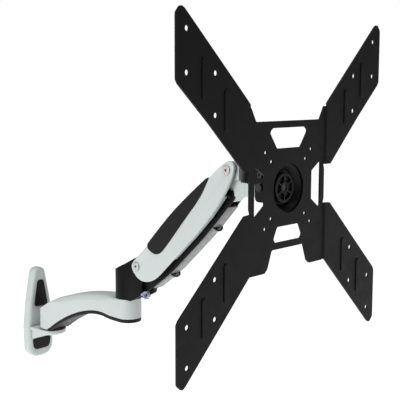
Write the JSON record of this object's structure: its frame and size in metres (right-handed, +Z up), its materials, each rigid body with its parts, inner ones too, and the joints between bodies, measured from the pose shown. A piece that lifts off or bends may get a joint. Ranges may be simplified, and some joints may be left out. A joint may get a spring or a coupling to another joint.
{
  "type": "full motion TV wall mount",
  "caption": "Wall-mounted television arm with two swing arms, a spring-assisted lifting parallelogram, and a swivelling, tilting, turning X-shaped plate.",
  "frame": {"origin": "centre of the wall bracket's back face, between the two wall screws' centre line", "axes": "+Z up, -Y from the wall towards the television, +X to the right when facing the wall"},
  "size_m": [0.436, 0.5688, 0.5748],
  "materials": {
    "castings": "light grey paint",
    "light_covers": "satin",
    "black_metal": "fine powder coat",
    "black_casting": "black paint",
    "black_plastic": "satin",
    "soft_grip": "soft touch",
    "frosted_plastic": "frosted",
    "pale_nylon": "translucent",
    "black_steel": "black oxide",
    "steel": "zinc plated",
    "bearing": "plain bearing"
  },
  "bodies": {
    "wall": {"wall_bracket": "castings", "upper_screw_cover": "black_plastic", "lower_screw_cover": "black_plastic", "wall_pivot_post": "steel", "wall_thrust_washer": "bearing", "wall_pivot_washer": "steel", "wall_pivot_screw": "steel"},
    "arm_1": {"arm_1_casting": "castings", "arm_1_cable_cover": "black_plastic", "arm_1_cover_screws": "steel", "arm_1_root_cap": "black_plastic", "wall_pivot_bushes": "bearing", "elbow_bushes": "bearing"},
    "elbow": {"elbow_block": "black_casting", "elbow_cable_clip": "pale_nylon", "elbow_shaft": "steel", "elbow_thrust_washer": "bearing", "elbow_washer": "steel", "elbow_nut": "steel", "tension_carriage": "steel", "tension_screw": "steel", "spring_anchor_pin": "black_steel", "lift_pivot_bushes": "bearing", "lower_link_rear_pin": "black_steel"},
    "arm_2": {"arm_2_channel": "black_metal", "arm_2_right_cover": "light_covers", "arm_2_left_cover": "light_covers", "arm_2_grip": "soft_grip", "lift_pivot_pin": "steel", "tip_pivot_pin": "steel", "pivot_screw_heads": "steel", "spring_top_pin": "steel"},
    "lower_link": {"lower_link": "black_metal", "cable_cover_front": "frosted_plastic", "cable_cover_middle": "frosted_plastic", "cable_cover_rear": "frosted_plastic", "cable_guide_rings": "black_plastic"},
    "spring_tube": {"gas_spring_tube": "steel", "gas_spring_gland": "bearing"},
    "spring_rod": {"gas_spring_rod": "steel", "gas_spring_piston": "steel", "gas_spring_rod_eye": "steel"},
    "head": {"head_bracket": "castings", "tip_pivot_bushes": "bearing", "lower_link_front_pin": "black_steel", "head_post": "steel", "head_post_washer": "steel", "head_post_screw": "steel"},
    "yoke": {"swivel_yoke": "black_casting", "head_swivel_bush": "bearing", "tilt_bolt": "black_steel", "tilt_nut": "black_steel", "tilt_washers": "black_steel", "tilt_lock_screws": "black_steel"},
    "tilt_head": {"tilt_bracket": "black_metal", "rotation_stud": "black_steel", "rotation_knob": "black_plastic", "rotation_friction_washers": "bearing"},
    "plate": {"tv_plate": "black_metal", "hub_dish": "black_metal"}
  },
  "joints": [
    {"name": "wall_swivel", "type": "hinge", "parent": "wall", "child": "arm_1", "pos_m": [0, -0.048, 0.02], "axis": [0, 0, 1], "range_deg": [-90, 90]},
    {"name": "elbow_swivel", "type": "hinge", "parent": "arm_1", "child": "elbow", "pos_m": [0, -0.248, 0.07], "axis": [0, 0, -1], "range_deg": [-120, 120]},
    {"name": "arm_lift", "type": "hinge", "parent": "elbow", "child": "arm_2", "pos_m": [0, -0.2935, 0.1277], "axis": [-1, 0, 0], "range_deg": [-76, 3.6]},
    {"name": "lower_link_pivot", "type": "hinge", "parent": "elbow", "child": "lower_link", "pos_m": [0, -0.2865, 0.0892], "axis": [-1, 0, 0], "range_deg": [-76.1, 3.7]},
    {"name": "head_level", "type": "hinge", "parent": "arm_2", "child": "head", "pos_m": [0, -0.47653, 0.28906], "axis": [-1, 0, 0], "range_deg": [-3.7, 76.1]},
    {"name": "spring_pivot", "type": "hinge", "parent": "arm_2", "child": "spring_tube", "pos_m": [0, -0.44947, 0.25321], "axis": [-1, 0, 0], "range_deg": [-0.1, 1.6]},
    {"name": "spring_stroke", "type": "slide", "parent": "spring_tube", "child": "spring_rod", "axis": [0, 0.7312, -0.6822], "range_m": [-0.0245, 0.0012]},
    {"name": "head_swivel", "type": "hinge", "parent": "head", "child": "yoke", "pos_m": [0, -0.51003, 0.26906], "axis": [0, 0, 1], "range_deg": [-60, 60]},
    {"name": "tilt", "type": "hinge", "parent": "yoke", "child": "tilt_head", "pos_m": [0, -0.53303, 0.26906], "axis": [-1, 0, 0], "range_deg": [-15, 15]},
    {"name": "screen_rotation", "type": "hinge", "parent": "tilt_head", "child": "plate", "pos_m": [0, -0.56503, 0.26906], "axis": [0, 1, 0], "range_deg": [-90, 90]}
  ],
  "couplings": [
    {"joint": "lower_link_pivot", "follows": "arm_lift", "ratio": 1},
    {"joint": "head_level", "follows": "arm_lift", "ratio": -1},
    {"joint": "spring_pivot", "follows": "arm_lift", "ratio": -0.0195},
    {"joint": "spring_stroke", "follows": "arm_lift", "m_per_rad": 0.018105}
  ]
}
